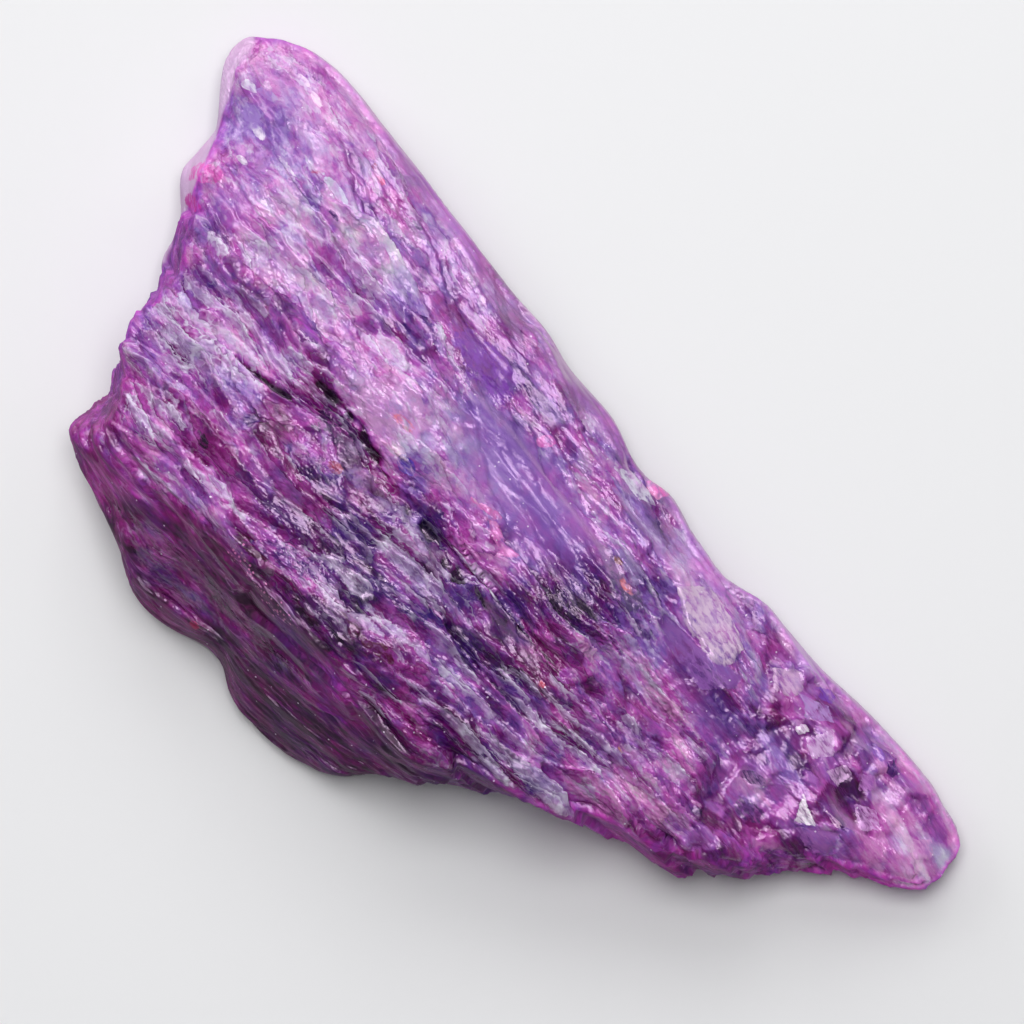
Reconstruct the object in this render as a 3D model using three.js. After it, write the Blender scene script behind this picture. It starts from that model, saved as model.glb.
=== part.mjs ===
// A rough sapphire (corundum) crystal: one broken wedge of purple stone, 48 mm long.
//
// +X runs along the stone from its blunt broken end to its narrow tip, +Y towards its long thin
// edge, and +Z up. The origin is on the resting face, below the middle of the stone's outline.
//
// The stone is the space inside three kinds of broken face:
//   - a girdle, the outline seen from above, whose walls lean in above and below its widest line;
//   - roof faces, and a steep front face that meets them in a long crest;
//   - a flat resting face with shallow chips in it.
// A splintery grain fans out from a point beyond the tip and roughens the roof and the walls.

import * as THREE from "three";
import { ImprovedNoise } from "three/addons/math/ImprovedNoise.js";
import { mergeVertices } from "three/addons/utils/BufferGeometryUtils.js";

// Driving dimensions, in millimetres. The finished stone fills exactly this box.
const LENGTH = 48;
const WIDTH = 21.6;
const HEIGHT = 10;

// The girdle, anticlockwise from the tip. Each corner gives its place, the height of the widest
// line there, and how far the wall leans in for each millimetre above and below that line.
const GIRDLE = [
  { x: 24.3, y: 8.7, widest: 1.6, above: 0.65, below: 0.8 },
  { x: 23.5, y: 10.4, widest: 1.6, above: 0.65, below: 0.9 },
  { x: 21.4, y: 11.0, widest: 1.6, above: 0.65, below: 1.0 },
  { x: 18.4, y: 10.7, widest: 1.6, above: 0.6, below: 1.1 },
  { x: 15.0, y: 10.45, widest: 1.7, above: 0.5, below: 1.1 },
  { x: 11.0, y: 9.95, widest: 1.9, above: 0.5, below: 1.2 },
  { x: 7.2, y: 9.7, widest: 2.0, above: 0.5, below: 1.2 },
  { x: 2.9, y: 10.6, widest: 2.1, above: 0.5, below: 1.2 },
  { x: 1.3, y: 9.6, widest: 2.1, above: 0.5, below: 1.2 },
  { x: -1.1, y: 10.6, widest: 2.2, above: 0.5, below: 1.2 },
  { x: -4.4, y: 9.9, widest: 2.2, above: 0.5, below: 1.2 },
  { x: -9.1, y: 10.6, widest: 2.2, above: 0.5, below: 1.2 },
  { x: -19.0, y: 10.8, widest: 2.2, above: 0.5, below: 1.0 },
  { x: -21.3, y: 11.0, widest: 2.2, above: 0.45, below: 1.0 },
  { x: -22.9, y: 10.3, widest: 2.1, above: 0.4, below: 0.9 },
  { x: -24.3, y: 8.5, widest: 2.1, above: 0.4, below: 0.8 },
  { x: -23.2, y: 6.2, widest: 2.0, above: 0.36, below: 0.65 },
  { x: -21.1, y: 2.6, widest: 1.9, above: 0.36, below: 0.5 },
  { x: -18.6, y: -0.6, widest: 2.0, above: 0.2, below: 0.5 },
  { x: -17.6, y: -4.4, widest: 2.3, above: 0.16, below: 0.5 },
  { x: -15.6, y: -6.5, widest: 2.8, above: 0.16, below: 0.5 },
  { x: -15.7, y: -8.7, widest: 3.2, above: 0.18, below: 0.55 },
  { x: -14.0, y: -9.3, widest: 2.8, above: 0.24, below: 0.55 },
  { x: -12.1, y: -9.7, widest: 2.0, above: 0.2, below: 0.65 },
  { x: -8.8, y: -11.1, widest: 1.1, above: 0.16, below: 0.65 },
  { x: -6.5, y: -11.3, widest: 0.9, above: 0.15, below: 0.65 },
  { x: -4.4, y: -10.0, widest: 0.9, above: 0.15, below: 0.65 },
  { x: -2.2, y: -11.0, widest: 0.9, above: 0.16, below: 0.65 },
  { x: 0.7, y: -10.1, widest: 1.1, above: 0.18, below: 0.75 },
  { x: 3.0, y: -9.1, widest: 1.5, above: 0.22, below: 0.9 },
  { x: 6.0, y: -6.6, widest: 2.8, above: 0.26, below: 1.0 },
  { x: 9.7, y: -3.7, widest: 3.7, above: 0.17, below: 1.1 },
  { x: 13.5, y: -1.0, widest: 3.4, above: 0.2, below: 1.1 },
  { x: 15.5, y: -0.2, widest: 3.1, above: 0.24, below: 1.1 },
  { x: 17.8, y: 1.9, widest: 2.6, above: 0.3, below: 1.0 },
  { x: 18.9, y: 3.4, widest: 2.3, above: 0.4, below: 0.9 },
  { x: 20.0, y: 5.0, widest: 2.0, above: 0.45, below: 0.8 },
  { x: 21.5, y: 6.3, widest: 1.7, above: 0.45, below: 0.8 },
  { x: 23.2, y: 7.2, widest: 1.5, above: 0.5, below: 0.8 },
];

// The roof faces: the height over one point, and how it climbs along X and along Y. The steep front
// face is given in the same way.
const ROOF = [
  { x: -2, y: -6, z: 10, alongX: -0.04, alongY: -0.45 }, // the main grained face
  { x: -9, y: -6.4, z: 9.4, alongX: 0.26, alongY: -0.2 }, // down to the blunt end
  { x: 13, y: -0.7, z: 6.3, alongX: -0.18, alongY: -0.22 }, // down to the tip
  { x: -20, y: 8, z: 4.5, alongX: 0.26, alongY: -0.48 }, // the corner by the long edge
];

const FRONT = { x: -5, y: -6, z: 9.8, alongX: -0.1, alongY: 1.3 };

// How softly the faces meet.
const ROOF_BLEND = 1.2;
const CREST_BLEND = 0.6;
const BASE_BLEND = 0.5;

// Chips in the resting face, outside the flat patch that the stone stands on.
const REST_PATCH = { x: -4, y: 0, radius: 4.5, fade: 2 };
const CHIP = { span: 5, depth: 0.8, layer: 7.5 };

// The grain fans out from a point beyond the tip. Each layer of splinters has a length along the
// grain, a width across it, a depth, a height, and its own layer of the noise.
const FAN_POINT = { x: 72, y: 4 };
const SPLINTERS = [
  { length: 16, width: 4.4, depth: 9, height: 0.36, layer: 0 },
  { length: 10, width: 2.8, depth: 9, height: 0.2, layer: 12 },
];
const LUMPS = { span: 6.5, height: 0.25, layer: 40 };
const RIDGE_TOP = 0.8;
const RIDGE_SHARPNESS = 3.2;

// One deep crevice follows the grain down the middle of the main face.
const CREVICE = { from: -11, to: 6.5, fade: 3, across: -3.1, width: 0.6, depth: 0.6 };

// The surface is a sphere's net, pulled onto the stone along rays that leave its spine, a line
// deep inside it that points to the tip.
const NET_DETAIL = 18;
const SPINE = new THREE.Line3(new THREE.Vector3(-8, -1.5, 3.2), new THREE.Vector3(6, 0.5, 3));
const NET_REACH = new THREE.Vector3(LENGTH - SPINE.distance(), WIDTH, HEIGHT).divideScalar(2);
const FARTHEST = 3;
const HALVINGS = 40;

// How much more a near edge of the girdle counts than a far one in the wall's numbers.
const NEARNESS = { least: 0.05, power: 4 };

const { lerp, clamp, smoothstep } = THREE.MathUtils;
const noise = new ImprovedNoise();

function smoothMax(a, b, blend) {
  const overlap = Math.max(blend - Math.abs(a - b), 0) / blend;
  return Math.max(a, b) + (overlap * overlap * blend) / 4;
}

// The signed distance from (x, y) to the girdle, with the wall's numbers there. Every edge has a say
// in those numbers, and the nearest edges have the most.
function wallAt(x, y) {
  let closest = Infinity;
  let inside = false;
  let total = 0;
  const wall = { distance: 0, widest: 0, above: 0, below: 0 };
  GIRDLE.forEach((from, i) => {
    const to = GIRDLE[(i + 1) % GIRDLE.length];
    const edgeX = to.x - from.x;
    const edgeY = to.y - from.y;
    const along = ((x - from.x) * edgeX + (y - from.y) * edgeY) / (edgeX * edgeX + edgeY * edgeY);
    const share = clamp(along, 0, 1);
    const distance = Math.hypot(x - from.x - share * edgeX, y - from.y - share * edgeY);
    const weight = (distance + NEARNESS.least) ** -NEARNESS.power;
    closest = Math.min(closest, distance);
    total += weight;
    for (const key of ["widest", "above", "below"]) {
      wall[key] += weight * lerp(from[key], to[key], share);
    }
    const crosses = from.y > y !== to.y > y;
    if (crosses && x < from.x + (edgeX * (y - from.y)) / edgeY) inside = !inside;
  });
  for (const key of ["widest", "above", "below"]) wall[key] /= total;
  wall.distance = inside ? -closest : closest;
  return wall;
}

// Each face below is under zero inside the stone, and about a distance outside it.
function wallFace({ x, y, z }) {
  const wall = wallAt(x, y);
  const lean = z > wall.widest ? wall.above : wall.below;
  return (wall.distance + lean * Math.abs(z - wall.widest)) / Math.hypot(1, lean);
}

function planeFace(face, { x, y, z }) {
  const height = face.z + face.alongX * (x - face.x) + face.alongY * (y - face.y);
  return (z - height) / Math.hypot(1, face.alongX, face.alongY);
}

function roofFace(point) {
  const faces = ROOF.map((face) => planeFace(face, point));
  return faces.reduce((a, b) => smoothMax(a, b, ROOF_BLEND));
}

// The resting face is flat at z = 0, with chips that only go up into the stone.
function baseFace({ x, y, z }) {
  const fromPatch = Math.hypot(x - REST_PATCH.x, y - REST_PATCH.y);
  const chipped = smoothstep(fromPatch, REST_PATCH.radius, REST_PATCH.radius + REST_PATCH.fade);
  const chip = Math.max(noise.noise(x / CHIP.span, y / CHIP.span, CHIP.layer), 0);
  return CHIP.depth * chip * chipped - z;
}

// How far across the grain a point lies: the same all along one splinter.
function acrossGrain(x, y) {
  return ((y - FAN_POINT.y) * FAN_POINT.x) / (FAN_POINT.x - x);
}

// How far the splinters and lumps stand out of the smooth faces.
function grainHeight({ x, y, z }) {
  const across = acrossGrain(x, y);
  const lump = noise.noise(x / LUMPS.span, y / LUMPS.span, z / LUMPS.span + LUMPS.layer);
  let height = LUMPS.height * lump;
  for (const { length, width, depth, height: top, layer } of SPLINTERS) {
    const value = noise.noise(x / length, across / width, z / depth + layer);
    height += top * (RIDGE_TOP - RIDGE_SHARPNESS * Math.abs(value));
  }
  return height;
}

function creviceDepth({ x, y }) {
  const along =
    smoothstep(x, CREVICE.from, CREVICE.from + CREVICE.fade) *
    (1 - smoothstep(x, CREVICE.to - CREVICE.fade, CREVICE.to));
  const across = (acrossGrain(x, y) - CREVICE.across) / CREVICE.width;
  return CREVICE.depth * along * Math.exp(-across * across);
}

function stoneAt(point) {
  const roof = roofFace(point) + creviceDepth(point);
  const walls = smoothMax(wallFace(point), planeFace(FRONT, point), CREST_BLEND);
  const body = smoothMax(roof, walls, CREST_BLEND) - grainHeight(point);
  return smoothMax(body, baseFace(point), BASE_BLEND);
}

// Halves the ray from its place on the spine until it ends at the stone's surface.
function surfaceAlong(start, ray) {
  let inner = 0;
  let outer = FARTHEST;
  const point = new THREE.Vector3();
  for (let i = 0; i < HALVINGS; i++) {
    const middle = (inner + outer) / 2;
    point.copy(start).addScaledVector(ray, middle);
    if (stoneAt(point) < 0) inner = middle;
    else outer = middle;
  }
  return point;
}

// Scales the stone to its driving dimensions, with the origin below the middle of its box.
function fitToSize(geometry) {
  geometry.computeBoundingBox();
  const { min, max } = geometry.boundingBox;
  geometry.translate(-(min.x + max.x) / 2, -(min.y + max.y) / 2, -min.z);
  geometry.scale(LENGTH / (max.x - min.x), WIDTH / (max.y - min.y), HEIGHT / (max.z - min.z));
}

function stoneGeometry() {
  const net = new THREE.IcosahedronGeometry(1, NET_DETAIL);
  net.deleteAttribute("normal");
  net.deleteAttribute("uv");
  const geometry = mergeVertices(net, 1e-5);
  const corners = geometry.getAttribute("position");
  const start = new THREE.Vector3();
  const ray = new THREE.Vector3();
  for (let i = 0; i < corners.count; i++) {
    ray.fromBufferAttribute(corners, i);
    SPINE.at((ray.x + 1) / 2, start);
    const point = surfaceAlong(start, ray.multiply(NET_REACH));
    const flat = Math.abs(point.z) < 1e-3;
    corners.setXYZ(i, point.x, point.y, flat ? 0 : point.z);
  }
  fitToSize(geometry);
  geometry.computeVertexNormals();
  return geometry;
}

const sapphire = new THREE.MeshStandardMaterial({ color: 0x8a4fa6, roughness: 0.35, metalness: 0 });

const stone = new THREE.Mesh(stoneGeometry(), sapphire);
stone.name = "sapphire_crystal";

const crystal = new THREE.Group();
crystal.name = "rough_sapphire_crystal";
crystal.add(stone);

export default crystal;
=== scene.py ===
"""Rough sapphire crystal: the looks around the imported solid.

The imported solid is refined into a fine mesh, a splintery relief is raised on it, and the places of
the stone's colours are stored on that mesh for its material to read. Lengths in the tables below
are in millimetres, in the part's frame: +X to the tip, +Y to the long thin edge, +Z up.
"""

import math
from itertools import product
from types import SimpleNamespace

import bpy
import numpy as np
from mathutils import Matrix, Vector


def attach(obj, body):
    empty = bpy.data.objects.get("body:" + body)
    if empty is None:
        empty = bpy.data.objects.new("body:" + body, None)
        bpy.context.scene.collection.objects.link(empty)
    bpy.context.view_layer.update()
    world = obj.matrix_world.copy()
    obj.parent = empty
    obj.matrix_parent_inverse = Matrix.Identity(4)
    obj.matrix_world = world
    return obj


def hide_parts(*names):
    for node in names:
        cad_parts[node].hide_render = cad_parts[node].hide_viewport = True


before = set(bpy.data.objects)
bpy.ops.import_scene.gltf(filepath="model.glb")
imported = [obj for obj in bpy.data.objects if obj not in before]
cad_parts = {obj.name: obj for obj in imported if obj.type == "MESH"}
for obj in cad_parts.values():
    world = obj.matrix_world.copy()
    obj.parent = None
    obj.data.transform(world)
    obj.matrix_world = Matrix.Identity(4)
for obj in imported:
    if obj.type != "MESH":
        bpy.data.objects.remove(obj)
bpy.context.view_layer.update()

NODE = "sapphire_crystal"
MM = 0.001

# ---------------------------------------------------------------------------------------------
# Noise


def random_at(cells, salt):
    """A random number from 0 to 1 for each whole-number point, the same on every run."""
    x, y, z = (cells[..., i].astype(np.int64).astype(np.uint32) for i in range(3))
    salt = np.uint32(salt * 974711 + 12345)
    mixed = x * np.uint32(374761393) + y * np.uint32(668265263) + z * np.uint32(2246822519) + salt
    mixed = (mixed ^ (mixed >> np.uint32(15))) * np.uint32(2246822519)
    mixed = (mixed ^ (mixed >> np.uint32(13))) * np.uint32(3266489917)
    mixed = mixed ^ (mixed >> np.uint32(16))
    return (mixed & np.uint32(0xFFFFFF)) / float(0xFFFFFF)


def noise(points, salt=0):
    """Gradient noise, about -1 to 1, that changes over a length of 1."""
    base = np.floor(points)
    inner = points - base
    ease = inner**3 * (inner * (inner * 6 - 15) + 10)
    total = np.zeros(len(points))
    for corner in product((0, 1), repeat=3):
        corner = np.array(corner)
        slope = [random_at(base + corner, 3 * salt + i) * 2 - 1 for i in range(3)]
        weight = np.where(corner, ease, 1 - ease).prod(-1)
        total += weight * ((inner - corner) * np.stack(slope, -1)).sum(-1)
    return total * 1.6


def octaves(points, salt, count=3):
    """Noise with finer and fainter noise added."""
    return sum(noise(points * 2**i + 7.3 * i, salt + 20 * i) / 2**i for i in range(count))


def ridges(points, salt):
    """Sharp crests at 1 with round valleys between them, down to about 0."""
    return 1 - np.minimum(np.abs(noise(points, salt)) * 2.2, 1)


def plates(points, salt):
    """Broken plates: how far each point is inside its plate's edge, the way from its plate's
    middle, and the plate's own whole-number key."""
    base = np.floor(points)
    nearest = np.full(len(points), 9.0)
    second = np.full(len(points), 9.0)
    away = np.zeros_like(points)
    key = np.zeros_like(points)
    for offset in product((-1, 0, 1), repeat=3):
        cell = base + np.array(offset)
        jitter = np.stack([random_at(cell, salt + i) for i in range(3)], -1)
        gap = points - (cell + jitter)
        distance = np.linalg.norm(gap, axis=-1)
        closer = distance < nearest
        second = np.where(closer, nearest, np.minimum(second, distance))
        nearest = np.where(closer, distance, nearest)
        away[closer] = gap[closer]
        key[closer] = cell[closer]
    return second - nearest, away, key


def smoothstep(low, high, value):
    share = np.clip((value - low) / (high - low), 0, 1)
    return share * share * (3 - 2 * share)


# ---------------------------------------------------------------------------------------------
# The fine mesh

# The longest edge left across the grain, on faces that look up, sideways and down.
TOP_EDGE = 0.15
WALL_EDGE = 0.2
UNDER_EDGE = 0.6
MOST_ROUNDS = 7
# The share of its length that an edge along the grain counts for.
GRAIN_STRETCH = 0.62
# How much of the bulge a new point gets, and the most that it moves as a share of its edge.
ROUNDING = 0.7
MOST_LIFT = 0.15
# How a triangle splits when some of its edges are long. Edges 0, 1 and 2 count 1, 2 and 4, and the
# sum is the key. Corners 0 to 2 are the triangle's own and 3 to 5 are on its edges 0 to 2.
SPLITS = {
    0: [(0, 1, 2)],
    1: [(0, 3, 2), (3, 1, 2)],
    2: [(0, 1, 4), (0, 4, 2)],
    4: [(0, 1, 5), (1, 2, 5)],
    3: [(3, 1, 4), (0, 3, 4), (0, 4, 2)],
    6: [(4, 2, 5), (0, 1, 4), (0, 4, 5)],
    5: [(0, 3, 5), (3, 1, 2), (3, 2, 5)],
    7: [(0, 3, 5), (3, 1, 4), (5, 4, 2), (3, 4, 5)],
}


def corner_normals(points, faces):
    a, b, c = (points[faces[:, i]] for i in range(3))
    face = np.cross(b - a, c - a)
    total = np.stack(
        [np.bincount(faces.ravel(), np.repeat(face[:, i], 3), len(points)) for i in range(3)], -1
    )
    return total / np.maximum(np.linalg.norm(total, axis=1, keepdims=True), 1e-12)


def split_long_edges(points, faces):
    """One round of splitting. A new point bulges to meet the planes of its edge's two ends."""
    normals = corner_normals(points, faces)
    corners = np.stack([faces, np.roll(faces, -1, axis=1)], -1)
    keys = np.sort(corners.reshape(-1, 2), axis=1)
    edges, which = np.unique(keys, axis=0, return_inverse=True)
    which = which.reshape(-1, 3)
    a, b = points[edges[:, 0]], points[edges[:, 1]]
    way = (b - a) * [GRAIN_STRETCH, 1, 1]
    facing = (normals[edges[:, 0], 2] + normals[edges[:, 1], 2]) / 2
    target = np.interp(facing, [-0.4, -0.05, 0.4, 0.6], [UNDER_EDGE, WALL_EDGE, WALL_EDGE, TOP_EDGE])
    long = np.linalg.norm(way, axis=1) > target
    middle = (a + b) / 2
    lifts = [
        normals[edges[:, i]] * ((points[edges[:, i]] - middle) * normals[edges[:, i]]).sum(1)[:, None]
        for i in range(2)
    ]
    lift = ROUNDING * (lifts[0] + lifts[1]) / 2
    most = MOST_LIFT * np.linalg.norm(b - a, axis=1) / np.maximum(np.linalg.norm(lift, axis=1), 1e-9)
    rounded = middle + lift * np.minimum(most, 1)[:, None]
    number = np.full(len(edges), -1)
    number[long] = len(points) + np.arange(long.sum())
    six = np.concatenate([faces, number[which]], axis=1)
    code = (long[which] * [1, 2, 4]).sum(1)
    parts = [six[code == c][:, pick] for c, picks in SPLITS.items() for pick in map(list, picks)]
    return np.concatenate([points, rounded[long]]), np.concatenate(parts), bool(long.any())


def fine_mesh(node):
    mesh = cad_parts[node].data
    points = np.zeros(len(mesh.vertices) * 3)
    mesh.vertices.foreach_get("co", points)
    points = points.reshape(-1, 3) / MM
    mesh.calc_loop_triangles()
    faces = np.zeros(len(mesh.loop_triangles) * 3, np.int64)
    mesh.loop_triangles.foreach_get("vertices", faces)
    faces = faces.reshape(-1, 3)
    points, same = np.unique(points.round(4), axis=0, return_inverse=True)
    faces = same.reshape(-1)[faces]
    for _ in range(MOST_ROUNDS):
        points, faces, more = split_long_edges(points, faces)
        if not more:
            break
    return points, faces


# ---------------------------------------------------------------------------------------------
# The grain

# The grain fans out from this point beyond the tip.
FAN_X, FAN_Y = 72, 4


def grain_space(points):
    """Along the grain, across it, and up."""
    x, y, z = points.T
    across = (y - FAN_Y) * FAN_X / (FAN_X - x)
    across = across + 0.22 * noise(points / 3.2, 31) + 0.05 * noise(points / 0.9, 32)
    return np.stack([x, across, z], -1)


def along_grain(points, x, y, turn=0.0):
    """Each point's place along and across the grain at (x, y), seen from above."""
    angle = math.atan2(y - FAN_Y, x - FAN_X) - math.pi + math.radians(turn)
    dx, dy = points[:, 0] - x, points[:, 1] - y
    run = dx * math.cos(angle) + dy * math.sin(angle)
    return run, dy * math.cos(angle) - dx * math.sin(angle)


def patch(points, x, y, along, across, turn=0.0, edge=0.5, ragged=0.3, salt=50):
    """1 inside a ragged oval drawn on the stone from above, 0 outside it, 0.5 at its edge."""
    run, rise = along_grain(points, x, y, turn)
    size = np.hypot(run / along, rise / across) + ragged * octaves(points / 0.7, salt)
    return smoothstep(1 + edge, 1 - edge, size)


def stroke(points, path, width):
    """How near a point is to a line drawn on the stone from above: 1 on it, 0 past its width. The
    second number is signed: how far it is across the line, to its left."""
    near = np.full(len(points), np.inf)
    side = np.zeros(len(points))
    for (ax, ay), (bx, by) in zip(path, path[1:]):
        length = math.hypot(bx - ax, by - ay)
        way = ((bx - ax) / length, (by - ay) / length)
        dx, dy = points[:, 0] - ax, points[:, 1] - ay
        run = np.clip(dx * way[0] + dy * way[1], 0, length)
        gap = np.hypot(dx - run * way[0], dy - run * way[1])
        closer = gap < near
        near = np.where(closer, gap, near)
        side = np.where(closer, dy * way[0] - dx * way[1], side)
    return smoothstep(width, 0, near), side


def terraces(grain, normals, size, salt):
    """Steps that break a steep wall into gentler treads, as a height to add straight up. They run
    along the grain, so they show from above as fine lines."""
    plan = grain * [1, 1, 0]
    inside, away, key = plates(plan / size, salt)
    steep = -normals[:, 1] / np.maximum(normals[:, 2], 0.2)
    extra = np.clip(steep - TREAD_SLOPE, 0, STEEPEST - TREAD_SLOPE)
    drop = extra * away[:, 1] * size[1] * smoothstep(0, 0.3, inside)
    return -drop, random_at(key, salt + 10), random_at(key, salt + 11)


def shards(space, size, salt, slope, lift, share):
    """Splinters that overlap like shingles, each rising to a sharp edge on its +Y side. Gives
    their height, how frosted they are, pale partly with painted sheen, and random numbers of
    their own from 0 to 1."""
    _, away, key = plates(space / size, salt)
    pick = [random_at(key, salt + 10 + i) for i in range(6)]
    rise = away[:, 1] * size[1] * slope * (0.2 + 1.6 * pick[0])
    run = away[:, 0] * size[0] * 0.6 * slope * (pick[1] - 0.5)
    height = rise + run + lift * (pick[2] - 0.5)
    frost_and_sheen = smoothstep(0, 0.2, share - pick[3]) * smoothstep(-0.45, 0.3, away[:, 1])
    return height, frost_and_sheen, pick[4], pick[5]


# ---------------------------------------------------------------------------------------------
# The colour zones

# Places on the stone, seen from above: x, y, reach, how light the stone is there, how warm
# (0 indigo, 1 magenta), and how many frosted splinters lie on it, pale partly with painted sheen.
# Many rows were changed, and some placed, by comparing the render's mean colours with the photo's
# over a grid of cells.
ZONES = [
    (-22.5, 8.7, 1.2, 0.66, 0.75, 0.1),
    (-20.6, 7.2, 1.3, 0.56, 0.25, 0.4),
    (-18.9, 9.8, 1.5, 0.72, 0.78, 0.3),
    (-15.4, 9.1, 1.8, 0.52, 0.65, 0.3),
    (-19.9, 3.8, 1.0, 0.58, 0.78, 0.2),
    (-18.3, 3.5, 1.1, 0.62, 0.72, 0.2),
    (-17.2, 1.2, 1.0, 0.36, 0.42, 0.4),
    (-14.9, 4.1, 1.8, 0.53, 0.42, 0.4),
    (-11.8, 7.2, 1.8, 0.61, 0.24, 0.4),
    (-8.5, 9.1, 1.3, 0.50, 0.65, 0.3),
    (-8.8, 5.9, 1.3, 0.39, 0.45, 0.3),
    (-17.0, -2.6, 1.3, 0.54, 0.52, 0.8),
    (-15.3, -1.2, 1.3, 0.40, 0.40, 0.9),
    (-12.0, 2.5, 1.3, 0.50, 0.50, 0.6),
    (-12.6, 0.8, 1.1, 0.66, 0.34, 0.8),
    (-10.3, 3.5, 1.0, 0.40, 0.45, 0.2),
    (-11.7, -2.8, 1.0, 0.50, 0.80, 0.2),
    (-12.8, 9.2, 1.0, 0.68, 0.40, 0.5),
    (-0.4, 6.6, 1.2, 0.70, 0.28, 0.1),
    (13.2, 9.5, 0.9, 0.75, 0.10, 0.1),
    (-13.5, -3.8, 1.4, 0.36, 0.70, 0.6),
    (-8.2, -2.3, 0.9, 0.46, 0.50, 0.3),
    (0.6, -5.7, 0.9, 0.40, 0.75, 0.2),
    (-10.4, -0.4, 1.2, 0.13, 0.86, 0.2),
    (-10.5, -5.1, 1.5, 0.42, 0.66, 0.3),
    (-7.6, 3.3, 1.3, 0.62, 0.60, 0.3),
    (-5.6, 8.5, 1.6, 0.38, 0.35, 0.1),
    (-2.2, 8.5, 1.5, 0.42, 0.40, 0.2),
    (-3.6, 5.4, 1.5, 0.69, 0.24, 0.1),
    (1.2, 5.7, 2.0, 0.64, 0.42, 0.05),
    (2.0, 8.7, 1.3, 0.46, 0.40, 0.4),
    (-7.3, -0.4, 1.3, 0.22, 0.68, 0.2),
    (-2.4, 0.7, 1.1, 0.20, 0.40, 0.3),
    (-0.2, 1.9, 0.9, 0.32, 0.50, 0.2),
    (-6.1, -2.3, 1.2, 0.34, 0.40, 0.5),
    (-5.4, -4.5, 1.1, 0.14, 0.60, 0.0),
    (-2.6, -4.7, 1.0, 0.20, 0.55, 0.1),
    (-6.1, -5.6, 1.0, 0.22, 0.90, 0.1),
    (-2.6, -2.9, 1.4, 0.26, 0.30, 0.7),
    (1.5, -0.8, 1.6, 0.25, 0.22, 0.4),
    (3.7, 2.8, 1.2, 0.13, 0.25, 0.2),
    (2.1, -4.2, 1.4, 0.25, 0.70, 0.4),
    (6.3, -3.1, 1.2, 0.28, 0.50, 0.4),
    (5.9, 1.4, 1.3, 0.20, 0.62, 0.3),
    (7.9, 3.4, 1.1, 0.70, 0.20, 0.4),
    (9.2, 9.4, 1.1, 0.62, 0.50, 0.1),
    (5.0, 4.8, 1.1, 0.20, 0.30, 0.1),
    (9.0, 2.3, 1.5, 0.36, 0.82, 0.3),
    (11.8, 6.1, 1.6, 0.38, 0.45, 0.1),
    (8.6, -0.5, 1.3, 0.40, 0.50, 0.6),
    (12.6, 0.9, 1.4, 0.48, 1.05, 0.2),
    (11.8, -0.8, 1.2, 0.56, 0.65, 0.5),
    (15.6, 1.8, 1.3, 0.35, 0.95, 0.1),
    (15.6, 4.0, 1.2, 0.56, 0.62, 0.2),
    (11.6, 3.3, 1.3, 0.62, 0.58, 0.6),
    (15.8, 6.2, 1.6, 0.52, 0.62, 0.2),
    (13.7, 9.1, 1.2, 0.58, 0.55, 0.1),
    (20.9, 8.8, 1.4, 0.70, 0.85, 0.1),
    (19.0, 8.3, 1.1, 0.56, 0.65, 0.1),
    (21.3, 6.4, 1.1, 0.56, 0.95, 0.0),
    (21.3, 10.6, 1.1, 0.78, 0.75, 0.0),
    (23.0, 8.8, 1.2, 0.86, 0.82, 0.0),
    (18.5, 3.5, 1.3, 0.42, 0.80, 0.1),
    (-14.5, -8.6, 1.0, 0.42, 0.82, 0.0),
    (-8.0, -9.2, 1.6, 0.26, 0.85, 0.0),
    (-1.0, -9.2, 1.6, 0.20, 0.75, 0.0),
    (4.0, -8.0, 1.2, 0.24, 0.82, 0.0),
]


def zone_values(points):
    """Light, warmth and the share of frosted splinters, pale partly with painted sheen, at each
    point, blended from the zones round it.
    """
    wander = np.stack([noise(points / 1.6, 41 + i) for i in range(2)], -1) * 0.5
    place = points[:, :2] + wander
    total = np.full(len(points), 1e-9)
    values = np.zeros((len(points), 3))
    for x, y, reach, *zone in ZONES:
        weight = np.exp(-((place[:, 0] - x) ** 2 + (place[:, 1] - y) ** 2) / (2 * reach**2)) + 1e-6
        total += weight
        values += weight[:, None] * np.array(zone)
    return values.T / total


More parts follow.
